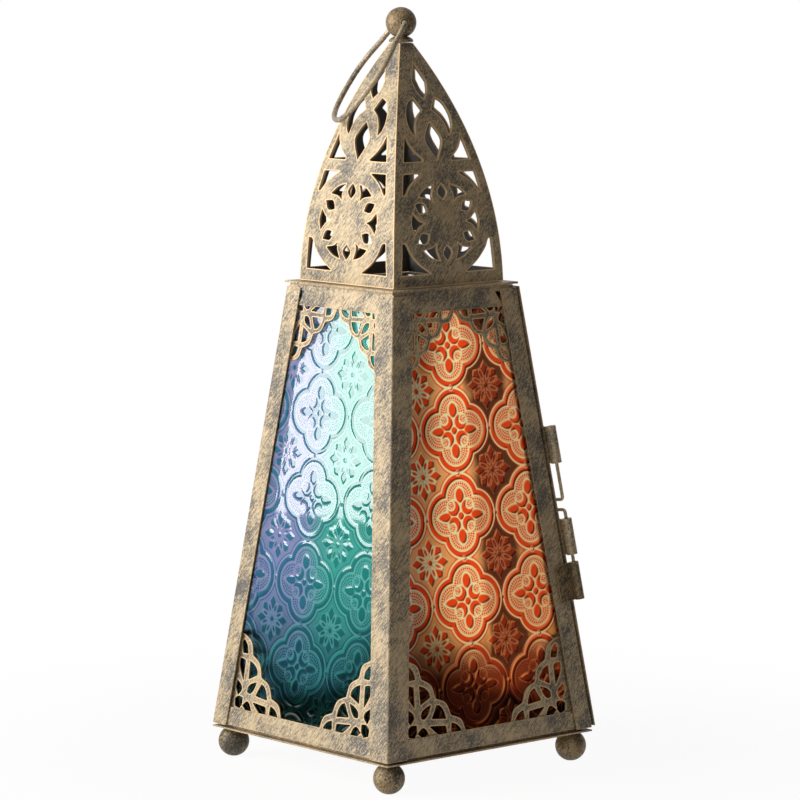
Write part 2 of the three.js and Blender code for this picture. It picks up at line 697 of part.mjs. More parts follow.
// Latch: two knuckles on the door, a keeper on the post's front, and a bolt with a thumb lever
const latchEdge = edgeFrame(1, -1);
const onDoor = (from, to, bore) => leafOnEdge(
  barrelRadius, doorLeafReach, doorLeafLevel, from, to, bore, barrelOut, barrelBeyond,
);
const onPost = (radius, reach, from, to, bore) => leafOnEdge(
  radius, reach, postLeafLevel, from, to, bore, barrelBeyond, barrelOut,
);
add('latch_knuckle_upper', onDoor(upperKnuckle.from, upperKnuckle.to, boltBore), brass, latchEdge);
add('latch_knuckle_lower', onDoor(lowerKnuckle.from, lowerKnuckle.to, boltBore), brass, latchEdge);
const keeper = onPost(keeperRadius, keeperReach, keeperKnuckle.from, keeperKnuckle.to, boltBore);
add('latch_keeper', keeper, darkBrass, edgeFrame(0, 1));

const arc = (cx, cy, radius, from, to, steps) => Array.from({ length: steps + 1 }, (_, i) => {
  const angle = (from + (to - from) * i / steps) * Math.PI / 180;
  return v2(cx + radius * Math.cos(angle), cy + radius * Math.sin(angle));
});
const low = alongEdge(leverLow);
const high = alongEdge(leverHigh);
const returnRadius = (high - low) / 2;
const boltPath = [
  v2(0, alongEdge(boltEnd)),
  v2(0, low - leverBend - 4),
  ...arc(-leverBend, low - leverBend, leverBend, 0, 90, 5),
  ...arc(-leverReach, (low + high) / 2, returnRadius, 270, 90, 10),
  ...arc(-leverBend, high + leverBend, leverBend, 270, 360, 5),
  v2(0, high + leverBend + 4),
  v2(0, alongEdge(boltTop)),
];
const boltFrame = new THREE.Matrix4().makeBasis(v3(0, 1, 0), v3(0, 0, 1), v3(1, 0, 0));
boltFrame.setPosition(barrelOut, barrelBeyond, 0);
add('latch_bolt', wire(boltPath, boltWire, 8), brass, latchEdge.clone().multiply(boltFrame));

// Hinges: door knuckle below, post knuckle above, and a headed pin through both
const hingeEdge = edgeFrame(1, 1);
const postHingeEdge = edgeFrame(2, -1);
[['lower', hingeLow], ['upper', hingeHigh]].forEach(([name, middle]) => {
  const from = middle - hingeLength / 2;
  const to = middle + hingeLength / 2;
  add(`hinge_${name}_door_leaf`, onDoor(from, middle - gap / 2, pinBore), brass, hingeEdge);
  const postLeaf = onPost(barrelRadius, doorLeafReach, middle + gap / 2, to, pinBore);
  add(`hinge_${name}_post_leaf`, postLeaf, brass, postHingeEdge);
  const z0 = alongEdge(from) - gap;
  const z1 = alongEdge(to) + gap;
  const pin = turned([v2(0, z0 - pinHeadHeight), v2(pinHead, z0 - pinHeadHeight), v2(pinHead, z0),
    v2(pinRadius, z0), v2(pinRadius, z1), v2(pinHead, z1), v2(pinHead, z1 + pinHeadHeight),
    v2(0, z1 + pinHeadHeight)], 12);
  add(`hinge_${name}_pin`, pin.translate([barrelOut, barrelBeyond, 0]), brass, hingeEdge);
});

// Candle cup
const cupBottom = plateTop + gap;
add('candle_cup', turned([
  v2(0, cupBottom), v2(cupRadius, cupBottom), v2(cupRadius, cupBottom + cupHeight),
  v2(cupRadius - cupWall, cupBottom + cupHeight), v2(cupRadius - cupWall, cupBottom + cupWall),
  v2(0, cupBottom + cupWall),
], 28), brass);

export default group;
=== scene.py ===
import math

import bpy
import numpy as np
from mathutils import Matrix, Vector


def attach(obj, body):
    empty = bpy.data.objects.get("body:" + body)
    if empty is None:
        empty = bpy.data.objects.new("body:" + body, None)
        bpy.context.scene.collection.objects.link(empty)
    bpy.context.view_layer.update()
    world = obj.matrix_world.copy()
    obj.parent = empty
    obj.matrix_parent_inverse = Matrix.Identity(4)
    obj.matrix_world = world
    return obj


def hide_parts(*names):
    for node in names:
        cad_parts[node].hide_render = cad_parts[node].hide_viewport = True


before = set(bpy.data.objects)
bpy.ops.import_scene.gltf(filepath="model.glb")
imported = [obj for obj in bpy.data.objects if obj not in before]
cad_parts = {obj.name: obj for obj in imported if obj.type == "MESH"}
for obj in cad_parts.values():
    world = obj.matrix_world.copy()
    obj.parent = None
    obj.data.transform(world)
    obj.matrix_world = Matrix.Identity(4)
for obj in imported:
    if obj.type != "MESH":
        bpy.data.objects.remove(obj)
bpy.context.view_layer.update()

MM = 0.001


# Feet: four cast balls, flattened where they stand and where they are soldered to the plate.
# Like all the metal they are brass-plated, lacquered near black and dry-brushed with pale gold:
# the brush leaves slanting streaks, skips the hollows and catches every edge. The edges' pale gold
# is partly that wear and partly a painted highlight.
FOOT_RADIUS = 6.2
FOOT_FLAT = 0.3
FOOT_HEIGHT = 11.4
FOOT_REACH = 47.9


def linear(colour):
    """sRGB hex to linear RGBA: each channel is undone from its gamma curve."""
    srgb = np.array([int(colour[i:i + 2], 16) for i in (1, 3, 5)]) / 255
    rgb = np.where(srgb <= 0.04045, srgb / 12.92, ((srgb + 0.055) / 1.055) ** 2.4)
    return (*rgb.tolist(), 1.0)


def add(tree, kind, inputs=None, **settings):
    """Add a shader node, set its properties, and fill or link its inputs by name or place."""
    made = tree.nodes.new("ShaderNode" + kind)
    for key, value in settings.items():
        setattr(made, key, value)
    for key, value in (inputs or {}).items():
        live = [socket for socket in made.inputs if socket.enabled]
        socket = live[key] if isinstance(key, int) else next(s for s in live if s.name == key)
        if isinstance(value, bpy.types.Node):
            value = next(s for s in value.outputs if s.enabled)
        if isinstance(value, bpy.types.NodeSocket):
            tree.links.new(value, socket)
        else:
            socket.default_value = value
    return made


def new_material(name):
    """An empty material with nodes; returns it and its node tree."""
    material = bpy.data.materials.new(name)
    material.use_nodes = True
    material.node_tree.nodes.clear()
    return material, material.node_tree


def brushed_noise(tree, place, direction):
    """Noise drawn out along a direction: strokes about 3 mm long and 0.4 mm wide."""
    turn = Vector(direction).to_track_quat("X", "Z").to_euler()
    along = add(tree, "Mapping", {"Vector": place, "Rotation": turn,
                                  "Scale": (3 * MM, 0.4 * MM, 0.4 * MM)}, vector_type="TEXTURE")
    return add(tree, "TexNoise", {"Vector": along, "Scale": 1.0, "Detail": 2.0, "Roughness": 0.6})


def dry_brushed(name, gold, umber, lacquer, missed):
    """Lacquer under brushed gold. missed moves the level below which the brush missed: specks and
    strokes are averaged, worn patches raise the level, cut edges always keep their gold, and on the
    outer face edges turn pale gold, partly wear and partly a painted highlight."""
    material, tree = new_material(name)
    place = add(tree, "TexCoord").outputs["Object"]
    normal = add(tree, "SeparateXYZ", {0: add(tree, "NewGeometry").outputs["Normal"]})
    sideways = add(tree, "Math", {0: normal.outputs["X"]}, operation="ABSOLUTE")
    on_side = add(tree, "Math", {0: sideways, 1: 0.7}, operation="GREATER_THAN")
    strokes = add(tree, "Mix", {0: on_side, "A": brushed_noise(tree, place, (1, 0.12, 1.1)),
                                "B": brushed_noise(tree, place, (0.12, -1, 1.1))})
    specks = add(tree, "TexNoise", {"Vector": place, "Scale": 1 / (0.8 * MM), "Detail": 3.0,
                                    "Roughness": 0.6})
    patches = add(tree, "TexNoise", {"Vector": place, "Scale": 1 / (12 * MM), "Detail": 2.0})
    level = add(tree, "Math", {0: patches, 1: 0.5, 2: missed}, operation="MULTIPLY_ADD")
    mean = add(tree, "Mix", {0: 0.42, "A": specks, "B": strokes})
    above = add(tree, "Math", {0: mean, 1: level}, operation="SUBTRACT")
    cover = add(tree, "MapRange", {"Value": above, "From Min": -0.15, "From Max": 0.1},
                interpolation_type="SMOOTHSTEP")
    inner = add(tree, "Attribute", attribute_name="unbrushed").outputs["Fac"]
    outer = add(tree, "Math", {0: 1.0, 1: inner}, operation="SUBTRACT")
    cut = add(tree, "Attribute", attribute_name="cut_edge").outputs["Fac"]
    cut = add(tree, "MapRange", {"Value": cut, "From Min": 0.4, "From Max": 0.75},
              interpolation_type="SMOOTHSTEP")
    rounded = add(tree, "Bevel", {"Radius": 0.4 * MM}, samples=3)
    alike = add(tree, "VectorMath", {0: rounded, 1: add(tree, "NewGeometry").outputs["Normal"]},
                operation="DOT_PRODUCT")
    corner = add(tree, "MapRange", {"Value": alike.outputs["Value"], "From Min": 0.99, "From Max": 0.86},
                 interpolation_type="SMOOTHSTEP")
    edge = add(tree, "Math", {0: cut, 1: corner}, operation="MAXIMUM")
    edge = add(tree, "Math", {0: edge, 1: 0.8}, operation="MULTIPLY")
    cover = add(tree, "Math", {0: cover, 1: edge}, operation="MAXIMUM")
    cover = add(tree, "Math", {0: cover, 1: outer}, operation="MULTIPLY")
    tone = add(tree, "MapRange", {"Value": strokes, "From Min": 0.36, "From Max": 0.62})
    tone = add(tree, "Math", {0: tone, 1: edge}, operation="MAXIMUM")
    brushed = add(tree, "Mix", {0: tone, "A": linear(umber), "B": linear(gold)}, data_type="RGBA")
    colour = add(tree, "Mix", {0: cover, "A": linear(lacquer), "B": brushed}, data_type="RGBA")
    # Pale gold on the outer edges: partly wear where the brush catches, partly a painted highlight where
    # edges catch the light.
    worn = add(tree, "Math", {0: edge, 1: outer}, operation="MULTIPLY")
    colour = add(tree, "Mix", {0: worn, "A": colour, "B": linear("#F2CC96")}, data_type="RGBA")
    metallic = add(tree, "MapRange", {"Value": cover, "To Min": 0.1, "To Max": 0.3})
    roughness = add(tree, "MapRange", {"Value": cover, "To Min": 0.55, "To Max": 0.5})
    height = add(tree, "Math", {0: cover, 1: mean}, operation="ADD")
    bump = add(tree, "Bump", {"Height": height, "Strength": 0.3, "Distance": 0.05 * MM})
    shader = add(tree, "BsdfPrincipled", {"Base Color": colour, "Metallic": metallic,
                                          "Roughness": roughness, "Normal": bump})
    add(tree, "OutputMaterial", {"Surface": shader})
    return material


antiqued_brass = dry_brushed("dry_brushed_brass", "#CEBA97", "#AC9676", "#5E5C58", 0.25)
dark_brass = dry_brushed("dark_lacquered_brass", "#AC946A", "#80694A", "#383630", 0.27)


def place_all(points, matrix=Matrix.Identity(4)):
    """Points (..., 3) in millimetres, moved by a matrix in millimetres and turned into metres."""
    turn = np.array(matrix)
    return (points @ turn[:3, :3].T + turn[:3, 3]) * MM


def hand_in(name, mesh, material, slot, body, *stands_for, sharp=35):
    """Finish a piece: material, smooth shading but for sharp edges, and its ties to the frame."""
    mesh.materials.append(material)
    mesh.shade_smooth()
    mesh.set_sharp_from_angle(angle=math.radians(sharp))
    made = bpy.data.objects.new(name, mesh)
    bpy.context.scene.collection.objects.link(made)
    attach(made, body)
    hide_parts(*stands_for)


def skin(name, grid, loop=False):
    """Faces over a grid of points (rows, columns, 3) whose columns close on themselves. Each end is
    closed by one face or, for a loop, the last row joins the first."""
    rows, columns = grid.shape[:2]
    row = np.arange(rows if loop else rows - 1)[:, None]
    column = np.arange(columns)[None, :]
    above = (row + 1) % rows
    beside = (column + 1) % columns
    quads = np.stack([row * columns + column, row * columns + beside,
                      above * columns + beside, above * columns + column], -1).reshape(-1, 4)
    faces = quads.tolist()
    if not loop:
        faces.append(np.arange(columns)[::-1].tolist())
        faces.append(np.arange((rows - 1) * columns, rows * columns).tolist())
    mesh = bpy.data.meshes.new(name)
    mesh.from_pydata(grid.reshape(-1, 3).tolist(), [], faces)
    return mesh


def turned(profile, columns, matrix=Matrix.Identity(4)):
    """A profile of (radius, height) points carried round the z axis, then placed."""
    angle = np.arange(columns) * 2 * np.pi / columns
    radius = profile[:, :1]
    height = np.broadcast_to(profile[:, 1:], (len(profile), columns))
    return place_all(np.stack([radius * np.cos(angle), radius * np.sin(angle), height], -1), matrix)


foot_centre = FOOT_RADIUS - FOOT_FLAT
foot_angle = np.linspace(math.acos(foot_centre / FOOT_RADIUS),
                         math.pi - math.acos((FOOT_HEIGHT - foot_centre) / FOOT_RADIUS), 24)
foot_profile = np.stack([FOOT_RADIUS * np.sin(foot_angle),
                         foot_centre - FOOT_RADIUS * np.cos(foot_angle)], 1)
corners = (("front_left", -1, -1), ("front_right", 1, -1), ("back_right", 1, 1), ("back_left", -1, 1))
for corner, x, y in corners:
    spot = Matrix.Translation((x * FOOT_REACH, y * FOOT_REACH, 0))
    hand_in(f"ball_foot_{corner}", skin("foot", turned(foot_profile, 48, spot)), dark_brass,
            "antiqued_brass", "lantern_body", f"foot_{corner}")


# Frame: base plate, corner posts, rails, collar and the door's rails, stiles and hinges are cut
# and folded from sheet and soldered. Their solids are right as they are and get the finish.
for name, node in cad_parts.items():
    node.data.materials.clear()
    node.data.materials.append(dark_brass if name == "latch_keeper" else antiqued_brass)


# Glass: four rolled panes whose face repeats quatrefoils, each a raised band round a beaded field
# with four petals and four crescents, and eight-petalled flowers between them. The colour is a
# clear stain on the figured face: thin, and cream, over the lines, strong on the raised parts.
# The red pane's darker zones, the dark line round each pane and the light and dark sides of the relief's
# slopes are painted light and shade.
POST_HALF = 54.1
POST_BOTTOM = 13.3
LEAN = math.atan((108.2 - 64.6) / 2 / 176.3)
PITCH_U = 36.0
PITCH_V = 33.4
GLASS_THICKNESS = 2.4
RELIEF = 0.045
PANE_COLUMNS = 228
PANE_ROWS = 416
SIDE_LOBE = (7.5, 9.9)  # a wide circle's distance from the quatrefoil's centre, and its radius
TOP_LOBE = (7.0, 9.6)
BEAD_PITCH = 1.1
BEAD_START = 3.35
BEADS_ROUND = 34.0


def wall_matrix(wall):
    """A leaning wall's own axes: u to the right as seen from outside, v up the slope, n outwards.
    Walls are 0 front, 1 door, 2 back, 3 left."""
    return (Matrix.Rotation(wall * math.pi / 2, 4, "Z")
            @ Matrix.Translation((0, -POST_HALF, POST_BOTTOM))
            @ Matrix.Rotation(math.pi / 2 - LEAN, 4, "X"))


def ramp(value, width):
    """0 below minus width, 1 above width, smooth between."""
    t = np.clip(value / width / 2 + 0.5, 0, 1)
    return t * t * (3 - 2 * t)


def line(distance, width):
    """A rounded line: 1 where the distance is 0, falling to 0 a width away."""
    return np.cos(np.clip(distance / width, -1, 1) * np.pi / 2) ** 2


def quatrefoil(x, y):
    """At (x, y) mm from its centre: distance outside the outline, distance outside the nearest petal
    or crescent, the angle in its lobe, and the height. The outline joins two wide circles on the x
    axis and two on the y axis."""
    ax, ay = np.abs(x), np.abs(y)
    side = np.hypot(ax - SIDE_LOBE[0], ay) - SIDE_LOBE[1]
    top = np.hypot(ax, ay - TOP_LOBE[0]) - TOP_LOBE[1]
    d = np.minimum(side, top)
    dot = np.hypot(x, y) - 1.35
    across = (np.hypot((ax - 8.4) / 3.0, ay / (1.55 - 0.14 * (ax - 8.4))) - 1) * 1.45
    upright = (np.hypot(ax / 1.95, (ay - 8.0) / 2.7) - 1) * 2.0
    crescent = np.maximum(np.hypot(ax - 3.6, ay - 3.2) - 2.95, 2.3 - np.hypot(ax - 4.8, ay - 4.4))
    motif = np.minimum(np.minimum(dot, across), np.minimum(upright, crescent))
    turn = np.where(side < top, np.arctan2(ay, ax - SIDE_LOBE[0]), np.arctan2(ax, ay - TOP_LOBE[0]))
    return d, motif, turn, np.maximum(line(d + 1.35, 1.3), ramp(-motif - 0.1, 0.6))


def flower(x, y):
    """At (x, y) mm from its centre: distance outside the nearest petal or the bud, and distance
    outside the nearest loop. The angle is folded into one eighth, so one of each draws them all."""
    r = np.hypot(x, y)
    turn = np.arctan2(y, x)
    from_petal = (turn + np.pi / 8) % (np.pi / 4) - np.pi / 8
    from_loop = turn % (np.pi / 4) - np.pi / 8
    reach = 8.7 + 0.6 * np.cos(4 * turn)
    px, py = r * np.cos(from_petal), np.abs(r * np.sin(from_petal))
    petal = py - 1.7 * np.where(px > 6.8, (reach - px) / (reach - 6.8), (px - 3.6) / 3.2)
    loop = (np.hypot((r * np.cos(from_loop) - 4.4) / 2.3, r * np.sin(from_loop) / 0.85) - 1) * 0.85
    return np.minimum(petal, r - 1.0), loop


def fold(value, pitch):
    """The distance from the nearest multiple of the pitch, with its sign."""
    return (value + pitch / 2) % pitch - pitch / 2


def figure(u, v, centre):
    """The pattern at (u, v) mm: the nearest quatrefoil's distances and angle, the distances of the
    flower outside it, with the knots where quatrefoils touch, and the height."""
    u, v = u - centre[0], v - centre[1]
    x, y = fold(u, PITCH_U), fold(v, PITCH_V)
    d, motif, turn, height = quatrefoil(x, y)
    petal, loop = flower(fold(u + PITCH_U / 2, PITCH_U), fold(v + PITCH_V / 2, PITCH_V))
    knot = np.minimum(np.hypot(np.abs(x) - PITCH_U / 2, y), np.hypot(x, np.abs(y) - PITCH_V / 2)) - 0.8
    petal, loop = np.minimum(np.maximum(petal, 1.5 - d), knot), np.maximum(loop, 1.5 - d)
    height = np.maximum(height, np.maximum(ramp(-petal, 0.5), 0.5 * line(loop, 0.6)))
    return d, motif, turn, petal, loop, height


def relief_pane(name, wall, low, high, inset, face, centre, columns=PANE_COLUMNS, rows=PANE_ROWS):
    """A closed pane. Its outer face is a grid over the trapezium between two levels, pressed in where
    the figure is low; a flat back and a rim close it. The figure rides along as distances in mm, and
    with it which way the relief slopes, the distance from the rim, and 1 on the figured face."""
    share = np.linspace(-1, 1, columns)[None, :]
    v = np.broadcast_to(np.linspace(low, high, rows)[:, None], (rows, columns))
    half = POST_HALF - inset - v * math.sin(LEAN)
    u = share * half
    d, motif, turn, petal, loop, height = figure(u, v, centre)
    slope = figure(u + 0.3, v - 0.3, centre)[-1] - figure(u - 0.3, v + 0.3, centre)[-1]
    rim = np.minimum(half - np.abs(u), np.minimum(v - low, high - v))
    front = np.stack([u, v, face - RELIEF * (1 - height * ramp(rim - 0.6, 0.4))], -1).reshape(-1, 3)
    index = np.arange(rows * columns).reshape(rows, columns)
    quads = np.stack([index[:-1, :-1], index[:-1, 1:], index[1:, 1:], index[1:, :-1]], -1).reshape(-1, 4)
    border = np.concatenate([index[0, :-1], index[:-1, -1], index[-1, :0:-1], index[:0:-1, 0]])
    back = front[border] * [1, 1, 0] + [0, 0, face - GLASS_THICKNESS]
    behind = len(front) + np.arange(len(border))
    rim_faces = np.stack([border, behind, np.roll(behind, -1), np.roll(border, -1)], -1)
    points = place_all(np.concatenate([front, back]), wall_matrix(wall))
    mesh = bpy.data.meshes.new(name)
    mesh.from_pydata(points.tolist(), [], quads.tolist() + rim_faces.tolist() + [behind[::-1].tolist()])
    for attribute, fields in (("quatrefoil", (d, motif, turn)), ("flower", (petal, loop, slope)),
                              ("pane", (rim, np.ones_like(rim), np.zeros_like(rim)))):
        values = np.zeros((len(points), 3))
        values[:len(front)] = np.stack(fields, -1).reshape(-1, 3)
        mesh.attributes.new(attribute, "FLOAT_VECTOR", "POINT").data.foreach_set("vector", values.ravel())
    return mesh


def step(tree, value, start, end):
    """0 where the value is at start, 1 at end, smooth between."""
    return add(tree, "MapRange", {"Value": value, "From Min": start, "From Max": end},
               interpolation_type="SMOOTHSTEP")


def stripe(tree, value, centre, half):
    """1 where the value is within half of centre, with soft edges."""
    off = add(tree, "Math", {0: value, 1: centre}, operation="SUBTRACT")
    return step(tree, add(tree, "Math", {0: off}, operation="ABSOLUTE"), half + 0.14, half - 0.14)


def calculate(tree, operation, *values):
    """Carry a sum, product or maximum through all the values."""
    result = values[0]
    for value in values[1:]:
        result = add(tree, "Math", {0: result, 1: value}, operation=operation)
    return result


def split(tree, attribute):
    """The three numbers of a mesh attribute."""
    vector = add(tree, "Attribute", attribute_name=attribute).outputs["Vector"]
    return list(add(tree, "SeparateXYZ", {0: vector}).outputs)


def figure_masks(tree):
    """The figure drawn from its distances: raised tone, pale lines, the outside of quatrefoils, and
    the slope. Beads stand in rows round the lobes, and are cut from the field by two waves."""
    d, motif, turn = split(tree, "quatrefoil")
    petal, loop, slope = split(tree, "flower")
    field = calculate(tree, "MULTIPLY", step(tree, d, -3.15, -3.45), step(tree, motif, 0.75, 1.0))
    wave = 2 * math.pi / BEAD_PITCH
    across = add(tree, "Math", {0: d, 1: wave, 2: BEAD_START * wave + math.pi}, operation="MULTIPLY_ADD")
    row = add(tree, "Math", {0: across}, operation="COSINE")
    along = add(tree, "Math", {0: calculate(tree, "MULTIPLY", turn, BEADS_ROUND)}, operation="COSINE")
    bead = calculate(tree, "MULTIPLY", field, step(tree, calculate(tree, "ADD", row, along), -0.3, 0.4))
    gap = calculate(tree, "SUBTRACT", field, bead)
    inner = calculate(tree, "MULTIPLY", stripe(tree, d, -2.8, 0.3), step(tree, motif, 0.0, 0.3))
    tone = calculate(tree, "MAXIMUM", stripe(tree, d, -1.35, 0.95), step(tree, motif, 0.05, -0.2), bead,
                     step(tree, petal, 0.05, -0.2), step(tree, loop, -0.25, -0.5),
                     stripe(tree, d, 0.85, 0.2))
    pale = calculate(tree, "MAXIMUM", stripe(tree, d, 0.05, 0.32), inner,
                     stripe(tree, motif, 0.45, 0.33), calculate(tree, "MULTIPLY", gap, 0.6),
                     calculate(tree, "MULTIPLY", stripe(tree, petal, 0.35, 0.2), 0.6),
                     stripe(tree, loop, 0.0, 0.22))
    return tone, pale, step(tree, d, 0.2, 0.6), slope


def stained_glass(name, thin, deep, darkening, cast=None, lacquer=0.0, shade=0.7):
    """Rolled glass, clear with a rough back. thin and deep are the colours of ground, raised parts
    and pale lines as they are and where they are darkened: on the red pane the darkening is painted
    shade, on the others it is only darker towards the bottom. deep has a fourth, a painted highlight for
    the slopes that face up and left where the figure is darkened. The function after them adds the
    nodes that say where to darken, for the ground and for the figure. cast swaps in three colours where
    its fourth, a function, says. lacquer is a clear coat's weight. shade is how dark the painted shade
    on the slopes that face down and right is where the colours are not darkened. Each face that light
    crosses tints it by its colour's square root; only the figured face is stained, so its is squared."""
    material, tree = new_material(name)
    tone, pale, outside, slope = figure_masks(tree)
    rim, face = split(tree, "pane")[:2]
    place = add(tree, "TexCoord").outputs["Object"]
    on_ground, on_figure = darkening(tree, place)
    # depth is how far the colours are darkened: painted shade on the red pane, darker towards the bottom
    # on the others.
    depth = add(tree, "Mix", {0: outside, "A": on_figure, "B": on_ground})

    def blend(factor, a, b):
        """Two colours mixed; hex strings are made linear."""
        a, b = (linear(value) if isinstance(value, str) else value for value in (a, b))
        return add(tree, "Mix", {0: factor, "A": a, "B": b}, data_type="RGBA")

    colours = list(thin)
    if cast:
        aside = cast[3](tree, place)
        colours = [blend(aside, colour, other) for colour, other in zip(colours, cast)]
    ground, raised, line_colour = (blend(depth, colour, other) for colour, other in zip(colours, deep))
    colour = blend(pale, blend(tone, ground, raised), line_colour)
    # Painted highlight on slopes that face up and left where the figure is darkened, and painted shade on
    # slopes that face down and right.
    lit = calculate(tree, "MULTIPLY", step(tree, slope, 0.3, 0.7), on_figure, 0.9)
    shaded = calculate(tree, "MULTIPLY", step(tree, slope, -0.2, -0.55),
                       add(tree, "Math", {0: depth, 1: 1 - shade, 2: shade}, operation="MULTIPLY_ADD"))
    colour = blend(shaded, blend(lit, colour, deep[3]), deep[0])
    # Painted shade: the pane turns near black within its last millimetre, a dark line along the posts and
    # rails.
    colour = blend(step(tree, rim, 0.9, 0.6), colour, "#140A08")
    colour = add(tree, "Mix", {0: 1.0, "A": colour, "B": colour}, data_type="RGBA",
                 blend_type="MULTIPLY")
    colour = blend(face, "#FFFFFF", colour)
    roughness = add(tree, "MapRange", {"Value": face, "To Min": 0.3, "To Max": 0.03})
    coat = calculate(tree, "MULTIPLY", face, lacquer)
    shader = add(tree, "BsdfPrincipled", {"Base Color": colour, "Roughness": roughness, "IOR": 1.5,
                                          "Transmission Weight": 1.0, "Coat Weight": coat,
                                          "Coat Roughness": 0.03})
    add(tree, "OutputMaterial", {"Surface": shader})
    return material


def wandering(tree, place, axis, reach):
    """A coordinate that a slow noise shifts by up to reach mm either way."""
    cloud = add(tree, "TexNoise", {"Vector": place, "Scale": 1 / (14 * MM), "Detail": 1.0})
    offset = add(tree, "Math", {0: cloud, 1: 4 * reach * MM, 2: -2 * reach * MM},
                 operation="MULTIPLY_ADD")
    coordinate = add(tree, "SeparateXYZ", {0: place}).outputs[axis]
    return add(tree, "Math", {0: coordinate, 1: offset}, operation="ADD")


def between(tree, value, start, end):
    """A step between two places in mm."""
    return step(tree, value, start * MM, end * MM)


def red_painted_shade(tree, place):
    """Painted shade: dark below about 50 mm; the ground also in an upright band right of the middle,
    and all a little darker right of the middle.
    """
    low = between(tree, wandering(tree, place, "Z", 3), 60, 40)
    across = wandering(tree, place, "X", 3)
    right = between(tree, across, 2, 8)
    band = calculate(tree, "MULTIPLY", right, between(tree, across, 30, 24), 0.95)
    half_shade = calculate(tree, "MULTIPLY", right, 0.5)
    aside = calculate(tree, "MULTIPLY", right, 0.45)
    return calculate(tree, "MAXIMUM", low, band, half_shade), calculate(tree, "MAXIMUM", low, aside)


def green_darkening(tree, place):
    """Darker towards the bottom."""
    low = between(tree, wandering(tree, place, "Z", 4), 85, 30)
    return low, low


def even_darkening(tree, place):
    """A little darker downwards."""
    low = between(tree, wandering(tree, place, "Z", 5), 160, 0)
    return low, low


def far_left(tree, place):
    """The half of the left pane away from the lantern's front."""
    return between(tree, wandering(tree, place, "Y", 3), -6, 16)


# The red glass's deep colours are painted shade; every glass's fourth deep colour is a painted highlight.
red_glass = stained_glass(
    "red_rolled_glass", ("#FFBC7C", "#FF5426", "#FFFCD0"),
    ("#44201A", "#82301C", "#B05A3A", "#FFA868"), red_painted_shade)
green_glass = stained_glass(
    "green_rolled_glass", ("#5CD2B0", "#36AE94", "#8CE4C8"),
    ("#427A76", "#2C5A58", "#58B0A2", "#54DCB8"), green_darkening,
    cast=("#B0B8D4", "#4C98AC", "#C4C0DC", far_left), lacquer=0.6, shade=0.35)
amber_glass = stained_glass(
    "amber_rolled_glass", ("#FFF6E2", "#FFE0AE", "#FFFCF4"),
    ("#FFECCA", "#F6C884", "#FFF6E2", "#FFFAF0"), even_darkening)
blue_glass = stained_glass(
    "blue_rolled_glass", ("#F0F4FF", "#CCD4FA", "#FCFDFF"),
    ("#CCD4F8", "#98A4E4", "#E8ECFE", "#F4F6FF"), even_darkening)
# Lowest and highest level, inset from the post's edge, and the face's place behind the wall
BODY_PANE = (2.3, 177.6, 5.4, -2.9)
DOOR_PANE = (2.25, 176.75, 9.2, -1.4)
panes = (
    ("front", 0, BODY_PANE, (-3.9, 57.2), red_glass, "red_glass", "lantern_body"),
    ("left", 3, BODY_PANE, (-8.2, 62.4), green_glass, "green_glass", "lantern_body"),
    ("back", 2, BODY_PANE, (4.0, 52.0), blue_glass, "blue_glass", "lantern_body"),
    ("door", 1, DOOR_PANE, (-2.0, 48.0), amber_glass, "amber_glass", "door"),
)
for name, wall, sizes, centre, material, slot, body in panes:
    pane = relief_pane(f"pane_{name}", wall, *sizes, centre)
    hand_in(f"pane_{name}", pane, material, slot, body, f"glass_{name}", sharp=60)


# Corner brackets: filigree cut from thin sheet, four to a window. Each fans out from the corner:
# a leaf on the bisector, straight struts to a scalloped free edge, and two legs that are soldered
# behind the rail and the post.
BRACKET_REACH = 22.5
BRACKET_LEG = 3.0
BRACKET_SHEET = 0.6
SCALLOP_BULGE = 1.9
HOLE_EASE = 0.22
BRACKET_GRID = 0.38
TOP_SCALE = 0.82  # the upper brackets are smaller, and start further into the corner
TOP_SHIFT = -3.83
TOP_CORNER = (170.3, 10.5)  # the corner's level, and its inset from the wall's edge
BOTTOM_CORNER = (7.5, 10.98)
# Shares of the reach: along the bisector, across it, and 1 where the line bends through the point
SCALLOPS = [[1, 0.8978], [0.9733, 0.4622], [0.9467, 0], [0.9733, -0.4622], [1, -0.8978]]
SIDE_HOLES = [
    [[0.6444, 0.1778, 0], [0.8844, 0.1022, 0], [0.9244, 0.1778, 1], [0.9144, 0.2944, 1],
     [0.8578, 0.4133, 0]],
    [[0.5111, 0.24, 0], [0.7556, 0.4978, 0], [0.7078, 0.5711, 1],
     [0.6489, 0.6178, 0], [0.5767, 0.5311, 1], [0.5333, 0.4078, 1]],
    [[0.24, 0.1156, 0], [0.3733, 0.1289, 1], [0.41, 0.2133, 1], [0.3733, 0.3511, 0], [0.2667, 0.2667, 0]],
    [[0.7778, 0.6533, 0], [0.8844, 0.5644, 0], [0.9422, 0.68, 1], [0.9378, 0.8133, 1],
     [0.8622, 0.8267, 0]],
]
AXIS_HOLES = [
    [[0.48, 0, 0], [0.5289, 0.0533, 1], [0.5911, 0.0667, 1], [0.68, 0.0489, 1], [0.7911, 0, 0],
     [0.68, -0.0489, 1], [0.5911, -0.0667, 1], [0.5289, -0.0533, 1]],
    [[0.0622, 0, 0], [0.1333, 0.1022, 0], [0.2311, 0.0844, 1], [0.32, 0, 0],
     [0.2311, -0.0844, 1], [0.1333, -0.1022, 0]],
]


